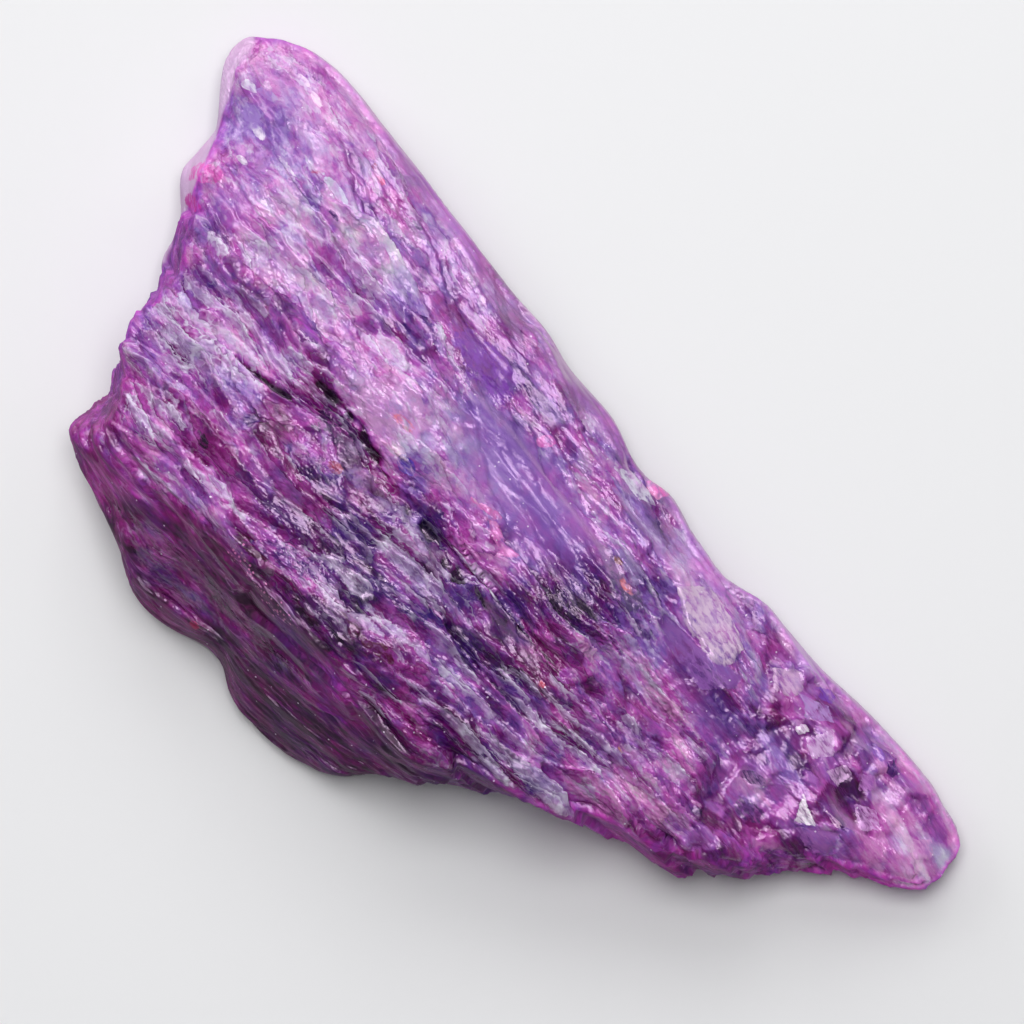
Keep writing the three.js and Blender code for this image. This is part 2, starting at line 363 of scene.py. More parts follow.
# Spots and patches that stand apart from their zone: x, y, half-length along the grain, half-width,
# turn from the grain in degrees, and colour.
SPOTS = [
    (-6.1, 7.5, 1.9, 0.9, 0, (120, 58, 164)),
    (-7.3, 3.1, 1.8, 1.3, 10, (196, 146, 198)),
    (-6.4, 3.1, 0.4, 0.2, 0, (212, 124, 138)),
    (-5.0, 2.0, 0.5, 0.3, 0, (84, 58, 170)),
    (-1.9, 7.4, 0.42, 0.28, 50, (198, 92, 176)),
    (0.2, 3.1, 1.0, 0.36, -10, (202, 112, 184)),
    (-1.3, 3.4, 0.7, 0.2, 20, (206, 112, 182)),
    (5.6, 5.9, 1.2, 0.45, 0, (86, 70, 112)),
    (4.8, 6.6, 1.0, 0.3, 0, (146, 126, 176)),
    (4.2, 6.4, 0.2, 0.12, 0, (128, 84, 74)),
    (5.3, 6.0, 0.3, 0.1, 0, (216, 122, 134)),
    (7.2, 5.4, 0.6, 0.3, 0, (66, 36, 104)),
    (-7.9, 0.6, 1.3, 0.8, 0, (46, 16, 72)),
    (14.6, 9.8, 0.5, 0.2, 20, (112, 56, 166)),
    (19.0, 10.0, 0.4, 0.15, 0, (62, 26, 108)),
    (18.1, 9.9, 0.4, 0.2, 0, (126, 74, 178)),
    (15.3, 5.0, 0.7, 0.3, 30, (62, 34, 92)),
    (16.3, 4.0, 0.8, 0.4, 20, (74, 34, 98)),
    # The seven whitish streaks from here down are painted highlights on the blunt end's top.
    (-20.5, 6.3, 0.45, 0.2, 0, (226, 216, 232)),
    (-20.0, 5.0, 0.35, 0.14, 0, (230, 222, 234)),
    (-22.3, 7.3, 0.4, 0.2, 20, (214, 206, 226)),
    (-20.0, 9.2, 0.45, 0.16, 0, (232, 206, 230)),
    (-21.0, 9.3, 0.4, 0.16, 10, (226, 204, 228)),
    (-16.4, 7.3, 0.9, 0.2, 0, (206, 204, 226)),
    (-18.5, 6.3, 0.8, 0.09, 0, (224, 212, 234)),
    (-16.0, 9.3, 0.2, 0.14, 0, (132, 30, 96)),
    (-15.4, 9.1, 0.25, 0.14, 0, (206, 84, 140)),
    (-17.5, 7.1, 0.2, 0.1, 60, (186, 64, 120)),
    (-14.6, 5.8, 0.2, 0.14, 60, (84, 26, 74)),
    (-12.8, 9.1, 0.3, 0.16, 0, (58, 40, 98)),
    (-15.4, 6.5, 0.3, 0.1, 0, (78, 40, 112)),
    (-20.4, 3.4, 0.7, 0.4, 40, (206, 84, 176)),
    (-19.8, 2.2, 0.5, 0.25, 0, (170, 46, 142)),
    (-21.3, 6.6, 0.6, 0.35, 0, (150, 118, 190)),
    (-21.5, 7.7, 0.5, 0.2, 20, (160, 118, 192)),
    (-5.5, -9.5, 0.22, 0.14, 0, (150, 30, 80)),
    (-11.4, -4.1, 0.45, 0.16, -12, (18, 8, 34)),
    (-6.8, -0.5, 0.4, 0.22, 0, (134, 30, 62)),
    (0.9, -1.4, 0.6, 0.3, 10, (44, 18, 112)),
    (-6.3, -5.3, 1.0, 0.3, 5, (58, 8, 36)),
    (-0.9, -4.2, 0.9, 0.26, 5, (62, 8, 38)),
    # The pale grey band below is painted sheen.
    (-3.3, -3.3, 1.7, 0.42, 12, (178, 160, 190)),
    (-4.7, -4.3, 1.7, 0.5, 10, (70, 28, 108)),
    (0.6, -3.9, 0.9, 0.3, 5, (78, 10, 48)),
    (-2.4, -4.9, 1.5, 0.3, 5, (72, 24, 90)),
    (-6.6, -3.4, 1.1, 0.24, 12, (84, 44, 112)),
    (0.0, -2.0, 1.2, 0.24, 8, (60, 32, 104)),
    (6.6, 1.5, 0.5, 0.35, 60, (150, 58, 158)),
    (10.5, 1.3, 0.16, 0.1, 0, (196, 130, 60)),
    (6.2, 0.5, 0.25, 0.16, 0, (206, 92, 110)),
]

# Flat facets broken across the tip: corners anticlockwise from above, lift, and colour.
FACETS = [
    ([(7.2, 6.1), (8.7, 5.8), (9.2, 6.9), (7.3, 6.7)], 0.0, (122, 70, 150)),
    ([(8.7, 5.8), (10.9, 5.7), (11.8, 6.9), (11.7, 7.5), (8.9, 6.8)], 0.0, (128, 74, 156)),
    (
        [(6.7, 7.8), (8.3, 7.0), (10.4, 7.0), (10.9, 7.5), (10.7, 8.3), (9.5, 8.7), (7.7, 8.9)],
        0.1,
        (206, 180, 206),
    ),
    ([(0.7, 8.9), (2.7, 8.9), (3.5, 9.4), (2.7, 9.5), (1.2, 9.2)], 0.1, (208, 202, 220)),
    ([(2.3, 9.6), (3.2, 9.6), (3.4, 10.0), (2.6, 10.1)], 0.0, (218, 132, 188)),
    ([(12.2, 8.8), (12.9, 8.2), (13.8, 8.6), (13.8, 9.3), (13.1, 9.6)], 0.1, (200, 162, 200)),
    ([(13.9, 9.0), (14.9, 8.5), (15.8, 9.3), (15.1, 9.6)], 0.05, (164, 124, 190)),
    ([(15.5, 7.9), (16.4, 7.5), (16.9, 8.4), (16.0, 9.1)], 0.12, (212, 174, 220)),
    ([(17.2, 7.6), (18.0, 7.6), (18.1, 8.4), (17.5, 8.5)], 0.14, (206, 164, 210)),
    ([(17.3, 6.3), (18.0, 5.2), (18.8, 5.8)], 0.1, (244, 234, 246)),
    ([(18.2, 5.1), (19.1, 4.9), (20.1, 5.3), (19.7, 6.5), (19.0, 5.9)], 0.08, (146, 84, 160)),
    ([(18.3, 6.6), (19.5, 6.4), (19.5, 6.8)], 0.05, (214, 172, 208)),
    ([(19.1, 7.7), (20.2, 7.2), (20.8, 7.8), (20.0, 8.3)], 0.12, (206, 152, 212)),
    ([(18.3, 8.8), (18.8, 8.2), (19.3, 8.9), (18.8, 9.3)], 0.12, (188, 120, 198)),
    ([(22.0, 8.7), (22.8, 8.2), (23.3, 8.9), (22.6, 9.4)], 0.06, (204, 144, 200)),
    # The small near-white facet below is a painted highlight.
    ([(14.8, 7.9), (15.2, 7.8), (15.4, 8.3), (15.0, 8.3)], 0.08, (232, 214, 236)),
]

# The smooth milky parts: x, y, half-length along the grain, half-width, and how smooth.
CALM = [
    (-0.9, 5.3, 5.2, 1.9, 1.0),
    (11.4, 5.6, 3.6, 0.9, 0.8),
    (-6.1, 7.6, 2.0, 1.1, 0.6),
    (-7.3, 3.1, 1.9, 1.2, 0.5),
    (-20.6, 7.2, 3.2, 2.4, 0.6),
    (-18.6, 3.3, 1.6, 1.2, 0.6),
]

# The deep crevice and the slit beside it, both darkened with painted shade, the curved ledge with a
# painted highlight on its edge, and the lines of frost with painted sheen, as points on the stone
# seen from above.
CREVICE = [(-10.0, 1.3), (-7.6, 1.5), (-5.7, 1.1), (-3.2, 1.0), (-0.5, 0.8), (2.6, 0.4)]
SLIT = [(-13.4, -0.5), (-11.9, -0.45), (-10.4, -0.1)]
LEDGE = [(3.5, 7.1), (4.6, 7.0), (5.7, 7.0), (6.7, 6.7), (7.3, 6.4)]
FROST_AND_SHEEN_LINES = [
    ([(-8.9, -3.1), (-6.4, -2.9), (-4.2, -2.6), (-2.8, -2.3), (0.6, -1.4)], 0.2),
    ([(-4.0, -0.6), (-1.6, -0.6), (0.4, -0.4)], 0.2),
    ([(7.0, -0.7), (8.0, -0.2), (9.4, 0.3)], 0.35),
    ([(-4.8, -3.6), (-3.5, -3.3), (-1.5, -3.2), (1.3, -2.8), (3.2, -2.4)], 0.3),
    ([(-6.6, 4.8), (-5.3, 4.4), (-4.1, 4.1)], 0.4),
    ([(-2.9, 4.1), (-1.5, 3.6)], 0.3),
    ([(-8.4, 1.4), (-7.0, 0.4), (-5.2, 0.4), (-2.6, 0.2), (0.2, 0.1)], 0.3),
    ([(-12.6, -5.6), (-10.2, -5.3), (-7.7, -4.8)], 0.16),
    ([(12.2, 3.9), (13.2, 3.8)], 0.2),
]
# The blunt end's smooth pale edge, a painted glow of light through the thin stone, the painted shade
# under the crest, and the line of pink crumbs below it.
BLUNT_EDGE = [(-23.6, 8.4), (-23.2, 7.3), (-21.3, 4.7), (-20.1, 2.4), (-19.4, 1.0)]
CREST_SHADE = [(-10.4, -4.9), (-8.5, -5.0), (-6.3, -5.1), (-3.5, -5.2), (-0.6, -4.8)]
CRUMB_LINE = [(-6.8, -5.9), (-5.2, -6.0), (-3.6, -6.1), (-2.6, -6.0)]


def colour_spots(points):
    """The spots' colours, and how far inside one each point is: 0.5 at its edge."""
    cover = np.zeros(len(points))
    colour = np.full((len(points), 3), 0.2)
    for i, (x, y, along, across, turn, shade) in enumerate(SPOTS):
        here = patch(points, x, y, along, across, turn, salt=140 + i)
        colour = np.where((here > 0.02)[:, None], np.array(linear(*shade)), colour)
        cover = np.maximum(here, cover * (1 - here))
    return colour, cover


def cut_facets(points):
    """How far inside a facet each point is, from 0 to 1, with the facet's colour and lift."""
    inside = np.zeros(len(points))
    colour = np.zeros((len(points), 3))
    height = np.zeros(len(points))
    ragged = 0.05 * octaves(points / 0.3, 170, 2)
    for corners, lift, shade in FACETS:
        deep = np.full(len(points), np.inf)
        for (ax, ay), (bx, by) in zip(corners, corners[1:] + corners[:1]):
            length = math.hypot(bx - ax, by - ay)
            side = (points[:, 1] - ay) * (bx - ax) - (points[:, 0] - ax) * (by - ay)
            deep = np.minimum(deep, side / length)
        here = smoothstep(-0.08, 0.08, deep + ragged)
        colour = np.where(here[:, None] > 0.02, linear(*shade), colour)
        inside = np.maximum(inside, here)
        height = np.maximum(height, here * lift)
    return inside, colour, height


# ---------------------------------------------------------------------------------------------
# The relief

# The slope of the steep wall's treads, the steepest wall that is given treads, and their size along
# the grain, across it and up.
TREAD_SLOPE = 1.0
STEEPEST = 2.0
TREAD_SIZE = np.array([9.0, 0.8, 1.0])

# Two layers of splinters: their size along the grain, across it and up, the salt of their random
# numbers, their slope, and how much their heights differ.
BIG_SHARDS = (np.array([5.4, 1.4, 4.0]), 200, 0.36, 0.28)
SMALL_SHARDS = (np.array([1.8, 0.5, 2.0]), 230, 0.3, 0.08)

# Two layers of blocks that the tip is broken into: their size, the salt of their random numbers,
# and how much their heights differ. The tilt is shared.
BLOCKS = [(1.9, 80, 0.2), (0.8, 100, 0.08)]
BLOCK_TILT = 0.36

# How far the gaps and the ledge reach to each side of their lines, and their depth or height.
CREVICE_REACH, CREVICE_DEPTH = 0.32, 0.2
SLIT_REACH, SLIT_DEPTH = 0.14, 0.25
LEDGE_REACH, LEDGE_HEIGHT = 0.5, 0.3

# How far the steep walls are moved out, and how high above the floor the relief is at full height.
WALL_OUT = 0.17
FULL_RELIEF_HEIGHT = 0.9


def regions(points, normals, across):
    """How much each point belongs to the steep walls, the calm parts, the broken tip, the smooth
    face and the thin rim, each from 0 to 1. The rim is given a painted glow of light through
    the thin stone."""
    x, y, _ = points.T
    wall = smoothstep(0.75, 0.5, normals[:, 2]) * (1 - stroke(points, CREVICE, 2.0)[0])
    calm = np.zeros(len(points))
    for x_calm, y_calm, along, half_width, amount in CALM:
        calm = np.maximum(calm, amount * patch(points, x_calm, y_calm, along, half_width, ragged=0.15))
    tip = smoothstep(13.2, 14.0, x + 0.5 * (y - 5) + 0.8 * noise(points / 1.5, 35)) * (1 - wall)
    smooth_face = smoothstep(1.5, 4.5, across)
    blunt, inward = stroke(points, BLUNT_EDGE, 3)
    edge = 0.35 * smoothstep(0.58, 0.7, normals[:, 1]) + 0.65 * smoothstep(0.8, 0.92, normals[:, 1])
    rim = np.maximum(
        edge * smoothstep(4, 6, y),
        smoothstep(0.0, 0.3, blunt) * smoothstep(0.1, -0.1, inward),
    )
    return wall, calm, tip, smooth_face, rim


def splinter_strength(points, wall, calm, tip, smooth_face, rim):
    """How far the splinters stand out at each point, from 0 to 1."""
    x, y, _ = points.T
    rough = (1 - 0.6 * smooth_face) * (1 - 0.85 * calm) * (1 - tip) * (1 - 0.6 * wall) * (1 - rim)
    rough = rough * (1 - 0.5 * smoothstep(-16, -19, x) * smoothstep(2, 4, y))
    return rough * (1 - 0.85 * smoothstep(-7, -8, y))


def tip_blocks(points, warp, tip, light, warm):
    """The height of the blocks that the tip is broken into, and the light and the warmth with each
    block's own part added."""
    height = 0
    broken = tip * (1 - 0.6 * smoothstep(19.5, 21.5, points[:, 0]))
    for size, salt, lift in BLOCKS:
        _, away, key = plates((points + 0.2 * warp) / size, salt)
        height = height + lift * (random_at(key, salt + 10) - 0.5)
        for axis in range(3):
            tilt = BLOCK_TILT * size * (random_at(key, salt + 11 + axis) - 0.5)
            height = height + tilt * away[:, axis]
        light = light + broken * 0.22 * (random_at(key, salt + 14) - 0.5)
        warm = warm + tip * 0.3 * (random_at(key, salt + 15) - 0.5)
    return broken * height, light, warm


def carve_lines(points, height):
    """The height with the crevice and the slit cut into it and the ledge raised on it, how far inside
    a gap each point is, which sets the painted shade in the gaps, and how frosted the named lines
    make it, pale partly with painted sheen and highlights."""
    wandering = points + 0.12 * noise(points / 0.6, 33)[:, None]
    crevice, _ = stroke(wandering, CREVICE, CREVICE_REACH)
    crevice = crevice * smoothstep(-0.35, 0.25, noise(points / 0.7, 34))
    slit, _ = stroke(wandering, SLIT, SLIT_REACH)
    ledge, over = stroke(points, LEDGE, LEDGE_REACH)
    height = height - (CREVICE_DEPTH * crevice + SLIT_DEPTH * slit)
    height = height + LEDGE_HEIGHT * ledge * smoothstep(-0.05, 0.05, -over)

    # Frost with painted glints along the crevice's lip, a painted highlight on the ledge's edge, and
    # the named lines' frost with painted sheen.
    crevice_lip = 0.8 * stroke(wandering + [0.1, 0.3, 0], CREVICE, 0.3)[0]
    frost_and_sheen = np.maximum(crevice_lip, smoothstep(0.3, 1, ledge) * (over < 0))
    for line, width in FROST_AND_SHEEN_LINES:
        frost_and_sheen = np.maximum(frost_and_sheen, stroke(wandering, line, width)[0])
    return height, np.maximum(crevice, slit), frost_and_sheen


def relief(points, normals):
    """The points with the relief carved into them, and the fields that the material reads."""
    x, y, z = points.T
    grain = grain_space(points)
    light, warm, share = zone_values(points)
    wall, calm, tip, smooth_face, rim = regions(points, normals, grain[:, 1])
    rough = splinter_strength(points, wall, calm, tip, smooth_face, rim)
    share = share * (1 - wall) * (1 - 0.8 * calm)

    warp = np.stack([noise(points / 1.3, 36 + i) for i in range(3)], -1)
    space = grain + warp * [0.25, 0.06, 0.06]
    big, big_frost_and_sheen, big_light, big_warm = shards(space, *BIG_SHARDS, share)
    small, small_frost_and_sheen, small_light, small_warm = shards(space, *SMALL_SHARDS, share)
    height = rough * (big + small)
    height += rough * 0.16 * (ridges(grain / [6.0, 1.6, 6.0], 1) - 0.5)
    height += (0.3 + 0.7 * rough) * 0.02 * octaves(grain / [1.1, 0.4, 0.4], 3, 2)
    plain = (1 - 0.8 * calm) * (1 - wall)
    light = light + plain * (0.24 * (big_light - 0.5) + 0.16 * (small_light - 0.5))
    warm = warm + plain * (0.35 * (big_warm - 0.5) + 0.35 * (small_warm - 0.5))

    tread, tread_light, tread_warm = terraces(grain, normals, TREAD_SIZE, 260)
    flank = wall * smoothstep(-4.0, -6.0, y) * smoothstep(9.5, 7.0, x) * smoothstep(-16.5, -15.0, x)
    # The flank's treads differ in tone, and the whole flank is a little darker: painted shade.
    light = light + flank * (0.12 * (tread_light - 0.5) - 0.06)
    warm = warm + flank * (0.3 * (tread_warm - 0.5) + 0.1)

    blocks, light, warm = tip_blocks(points, warp, tip, light, warm)
    height += blocks * (1 - rim)
    facet, facet_colour, facet_lift = cut_facets(points)
    height = height * (1 - facet) + facet_lift
    height, crevice_shade, line_frost_and_sheen = carve_lines(points, height)
    # Frost on the splinters and the named lines, pale partly with painted sheen and highlights.
    frost_and_sheen = np.maximum(np.maximum(0.9 * big_frost_and_sheen, small_frost_and_sheen) * (1 - tip), line_frost_and_sheen)
    crumbs, _ = stroke(points, CRUMB_LINE, 0.4)
    light = light - 0.14 * stroke(points, CREST_SHADE, 0.9)[0]

    above_base = smoothstep(0.0, FULL_RELIEF_HEIGHT, z)
    height = height * above_base + WALL_OUT * wall
    carved = points + normals * height[:, None]
    carved[:, 2] = np.maximum(carved[:, 2] + tread * flank * above_base, 0)
    grain[:, 1] += 0.3 * z
    colour, cover = colour_spots(points)
    colour = np.where(facet[:, None] > 0.02, facet_colour, colour)
    cover = np.maximum(cover * (1 - facet), facet)
    calm = np.maximum.reduce([calm, 0.45 * smooth_face * (1 - tip), 0.75 * tip, 0.9 * rim, facet])
    fields = dict(light=light, warm=warm, frost_and_sheen=frost_and_sheen, crevice_shade=crevice_shade, wall=wall, calm=calm)
    fields.update(crumbs=crumbs, rim=rim, cover=cover, tint=colour, grain=grain)
    return carved, fields


# ---------------------------------------------------------------------------------------------
# Materials


class Graph:
    """Adds nodes to a material in few words."""

    def __init__(self, material):
        material.use_nodes = True
        self.tree = material.node_tree
        self.tree.nodes.clear()

    def put(self, socket, value):
        if isinstance(value, bpy.types.NodeSocket):
            self.tree.links.new(value, socket)
        elif isinstance(value, (tuple, list)) and socket.type == "RGBA":
            socket.default_value = (*value[:3], 1)
        else:
            socket.default_value = value

    def add(self, kind, inputs=None, **settings):
        node = self.tree.nodes.new("ShaderNode" + kind)
        for name, value in settings.items():
            setattr(node, name, value)
        for name, value in (inputs or {}).items():
            self.put(node.inputs[name], value)
        return node

    def math(self, operation, a, b=0.0, clamp=False):
        return self.add("Math", {0: a, 1: b}, operation=operation, use_clamp=clamp).outputs[0]

    def sum(self, start, *terms):
        """The start with each (value, factor, middle) term's swing round its middle added."""
        for value, factor, middle in terms:
            swing = self.math("SUBTRACT", value, middle)
            node = self.add("Math", {0: swing, 1: factor, 2: start}, operation="MULTIPLY_ADD")
            start = node.outputs[0]
        return start

    def mix(self, factor, a, b, blend="MIX"):
        node = self.add("Mix", data_type="RGBA", blend_type=blend, clamp_factor=True)
        self.put(node.inputs[0], factor)
        self.put(node.inputs[6], a)
        self.put(node.inputs[7], b)
        return node.outputs[2]

    def stretch(self, vector, scale):
        return self.add("Mapping", {"Vector": vector, "Scale": scale}).outputs[0]

    def noise(self, vector, scale=1.0, detail=3.0, roughness=0.5):
        values = {"Vector": vector, "Scale": scale, "Detail": detail, "Roughness": roughness}
        return self.add("TexNoise", values).outputs["Fac"]

    def dots(self, vector, cell, radius, share):
        """Round specks, one in some of the cells."""
        cells = self.add("TexVoronoi", {"Vector": vector, "Scale": 1 / cell, "Randomness": 0.9})
        near = self.ramp(cells.outputs["Distance"], radius / cell, 0.6 * radius / cell)
        chance = self.add("SeparateColor", {0: cells.outputs["Color"]}).outputs[0]
        return self.math("MULTIPLY", near, self.math("LESS_THAN", chance, share))

    def splinters(self, vector, length, width):
        """Cells of this length and width. Gives how far a point is across its own cell from the
        cell's middle, how near the cell's edge is, and three random numbers for the cell."""
        vector = self.stretch(vector, (1 / length, 1 / width, 1))
        inputs = {"Vector": vector, "Scale": 1}
        flat = dict(voronoi_dimensions="2D")
        cells = self.add("TexVoronoi", inputs, **flat)
        edge = self.add("TexVoronoi", inputs, feature="DISTANCE_TO_EDGE", **flat)
        away = self.add(
            "VectorMath", {0: vector, 1: cells.outputs["Position"]}, operation="SUBTRACT"
        )
        place = self.add("SeparateXYZ", {0: away.outputs[0]})
        pick = self.add("SeparateColor", {0: cells.outputs["Color"]})
        return place.outputs[1], edge.outputs["Distance"], list(pick.outputs)

    def ramp(self, value, low, high):
        """0 below low, 1 above high."""
        node = self.add("MapRange", {0: value, 1: low, 2: high}, interpolation_type="SMOOTHSTEP")
        return node.outputs[0]

    def colours(self, value, stops):
        """A colour for each value, blended between stops of (value, colour)."""
        node = self.add("ValToRGB", {0: value})
        row = node.color_ramp.elements
        for _ in stops[2:]:
            row.new(0.5)
        for element, (place, colour) in zip(row, stops):
            element.position = place
            element.color = (*linear(*colour), 1)
        return node.outputs[0]

    def attribute(self, name, output="Fac"):
        return self.add("Attribute", attribute_name=name).outputs[output]


def linear(red, green, blue):
    """A colour given as 0 to 255 on a screen, as Blender's own numbers."""
    return tuple(((c / 255 + 0.055) / 1.055) ** 2.4 for c in (red, green, blue))


# The body's colours from dark to light, for its indigo parts and for its magenta parts.
COOL = [
    (0.0, (14, 4, 40)),
    (0.25, (62, 20, 108)),
    (0.5, (128, 88, 172)),
    (0.75, (184, 166, 208)),
    (1.0, (226, 222, 236)),
]
WARM = [
    (0.0, (36, 0, 28)),
    (0.25, (114, 8, 98)),
    (0.5, (176, 72, 166)),
    (0.75, (216, 148, 204)),
    (1.0, (240, 214, 232)),
]


# Colours that lie over the body's: the rim's painted glow, painted shade in the gaps between
# splinters, milky lenses, dull and bright frost with painted sheen, painted highlights on lit
# edges, painted sheen lines on the walls, dust, and crumbs.
RIM_GLOW_COLOUR = linear(210, 180, 210)
GAP_SHADE_COLOUR = linear(54, 14, 70)
MILK_COLOUR = linear(212, 206, 226)
DULL_FROST_AND_SHEEN, BRIGHT_FROST_AND_SHEEN = linear(160, 126, 178), linear(206, 192, 222)
EDGE_HIGHLIGHT_COLOUR = linear(214, 206, 226)
WALL_SHEEN_COLOUR = linear(164, 112, 168)
DUST_COLOUR = linear(226, 212, 232)
CRUMB_COLOUR = linear(224, 128, 188)

# The length and width of the painted splinters, in two sizes.
PAINTED_BIG = (2.8, 0.65)
PAINTED_SMALL = (0.8, 0.2)

# The space between specks of dust and between crumbs, the radius of each, and the share of the
# dust's places that hold a speck.
DUST_SPACE, DUST_RADIUS, DUST_SHARE = 0.42, 0.05, 0.25
CRUMB_SPACE, CRUMB_RADIUS = 0.21, 0.075

# The walls' colour is multiplied by this: painted shade that makes the steep walls darker
# and less green.
WALL_SHADE = (1.15, 0.4, 1.05)
# The walls are broken too finely to model, so they are shaded as if they faced up by this much more.
WALL_UPWARD = 0.7

SAPPHIRE_IOR = 1.76
# A real sapphire's gloss is colourless. This one offsets the grey that it picks up from the floor.
GLOSS_TINT = (1.0, 0.72, 1.0, 1.0)


def shared_sockets(graph):
    """The sockets that several parts of the stone's material read."""
    read = SimpleNamespace()
    read.grain = graph.attribute("grain", "Vector")
    read.place = graph.attribute("place", "Vector")
    read.wall = graph.attribute("wall")
    read.rim = graph.attribute("rim")
    calm = graph.attribute("calm")

    swirl = graph.add("TexNoise", {"Vector": graph.stretch(read.grain, (0.7, 1.6, 1.6)), "Detail": 1})
    bend = {0: swirl.outputs["Color"], 1: (0.6, 0.16, 0.1), 2: read.grain}
    read.bent = graph.add("VectorMath", bend, operation="MULTIPLY_ADD").outputs[0]
    read.vary = graph.ramp(calm, 0.9, 0.45)
    read.streak = graph.noise(graph.stretch(read.bent, (0.4, 1.5, 1.5)), 1.0, 3, 0.55)
    fine = {"Vector": graph.stretch(read.bent, (2.4, 5, 4.4)), "Scale": 1, "Detail": 3}
    speckle = graph.add("TexNoise", fine).outputs["Color"]
    read.speckle = list(graph.add("SeparateColor", {0: speckle}).outputs)

    crisp = graph.sum(1.0, (calm, -0.93, 0.0), (read.wall, -0.7, 0.0))
    busy = graph.ramp(graph.noise(read.place, 0.55, 1), 0.38, 0.62)
    read.crisp = graph.math("MULTIPLY", crisp, graph.sum(0.35, (busy, 0.8, 0.0)))
    read.big = graph.splinters(read.bent, *PAINTED_BIG)
    read.small = graph.splinters(read.bent, *PAINTED_SMALL)
    return read


def body_colour(graph, read):
    """How light the stone is, and its colour, with painted shade in the crevices and the rim's
    painted glow.
    """
    spread = graph.sum(0.3, (read.vary, 0.7, 0.0))
    swing = [
        graph.math("MULTIPLY", graph.math("SUBTRACT", value, middle), spread)
        for value, middle in ((read.streak, 0.45), (read.speckle[0], 0.5), (read.speckle[1], 0.5))
    ]
    cloud = graph.noise(read.place, 0.7, 3, 0.6)
    _, _, pick = read.big
    _, _, small_pick = read.small
    light = graph.sum(
        graph.attribute("light"),
        (swing[0], 0.6, 0.0),
        (swing[1], 0.45, 0.0),
        (graph.math("MULTIPLY", pick[0], read.crisp), 0.26, 0.4),
        (graph.math("MULTIPLY", small_pick[0], read.crisp), 0.12, 0.4),
        # Painted shade in the crevice and the slit.
        (graph.attribute("crevice_shade"), -0.7, 0.0),
    )
    warm = graph.sum(
        graph.attribute("warm"),
        (cloud, 1.8, 0.47),
        (swing[2], 1.2, 0.0),
        (graph.math("MULTIPLY", pick[1], read.crisp), 0.4, 0.4),
        (graph.math("MULTIPLY", small_pick[1], read.crisp), 0.3, 0.4),
    )
    body = graph.mix(warm, graph.colours(light, COOL), graph.colours(light, WARM))
    # The rim's pale colour is a painted glow of light through the thin stone.
    return light, graph.mix(graph.math("MULTIPLY", read.rim, 0.75), body, RIM_GLOW_COLOUR)


def lay_spots(graph, read, body):
    """The spots' and facets' colours, with ragged borders."""
    cover = graph.attribute("cover")
    cover = graph.sum(cover, (read.speckle[2], 0.9, 0.5), (read.small[2][2], 0.15, 0.5))
    mottle = graph.ramp(read.speckle[0], 0.35, 0.75)
    tint = graph.mix(mottle, graph.attribute("tint", "Color"), body)
    return graph.mix(graph.ramp(cover, 0.45, 0.6), body, tint)


def lay_gap_shade_and_milk(graph, read, light, body):
    """Painted shade in the gaps on one side of the big splinters, and milky lenses where the stone
    is light.
    """
    rise, edge, _ = read.big
    # Painted shade just below the splinters' edges.
    gap = graph.math("MULTIPLY", graph.ramp(edge, 0.1, 0.02), graph.ramp(rise, 0.0, -0.25))
    gap = graph.math("MULTIPLY", gap, read.crisp, clamp=True)
    body = graph.mix(graph.math("MULTIPLY", gap, 0.4), body, GAP_SHADE_COLOUR)
    lens = graph.noise(graph.stretch(read.bent, (1.0, 3.6, 3.6)), 1.0, 2, 0.5)
    lens = graph.math("MULTIPLY", graph.ramp(lens, 0.56, 0.66), graph.ramp(light, 0.3, 0.62))
    lens = graph.math("MULTIPLY", lens, read.vary)
    return graph.mix(graph.math("MULTIPLY", lens, 0.42), body, MILK_COLOUR)


def lay_frost_and_sheen(graph, read, body):
    """How frosted the stone is, and its colour with the frosting, pale partly with painted sheen,
    and with painted highlights on the splinters' lit edges.
    """
    rise, edge, pick = read.big
    small_rise, small_edge, _ = read.small
    place = graph.attribute("frost_and_sheen")
    frost_and_sheen = graph.sum(place, (read.speckle[2], 1.1, 0.5), (rise, 0.5, 0.0), (pick[2], 0.35, 0.5))
    frost_and_sheen = graph.math("MULTIPLY", graph.ramp(frost_and_sheen, 0.45, 0.95), read.crisp, clamp=True)
    grey = graph.mix(graph.ramp(read.speckle[0], 0.3, 0.7), DULL_FROST_AND_SHEEN, BRIGHT_FROST_AND_SHEEN)
    body = graph.mix(graph.math("MULTIPLY", frost_and_sheen, 0.62), body, grey)

    # Painted highlights on the lit edges of the splinters.
    lit = graph.math("MULTIPLY", graph.ramp(edge, 0.11, 0.03), graph.ramp(rise, 0.0, 0.25))
    small_lit = graph.math(
        "MULTIPLY", graph.ramp(small_edge, 0.16, 0.05), graph.ramp(small_rise, 0.0, 0.25)
    )
    lines = graph.math("MAXIMUM", lit, graph.math("MULTIPLY", small_lit, 0.7))
    lines = graph.math("MULTIPLY", lines, graph.sum(0.12, (place, 0.75, 0.0)), clamp=True)
    lines = graph.math("MULTIPLY", lines, read.crisp, clamp=True)
    return frost_and_sheen, graph.mix(lines, body, EDGE_HIGHLIGHT_COLOUR)


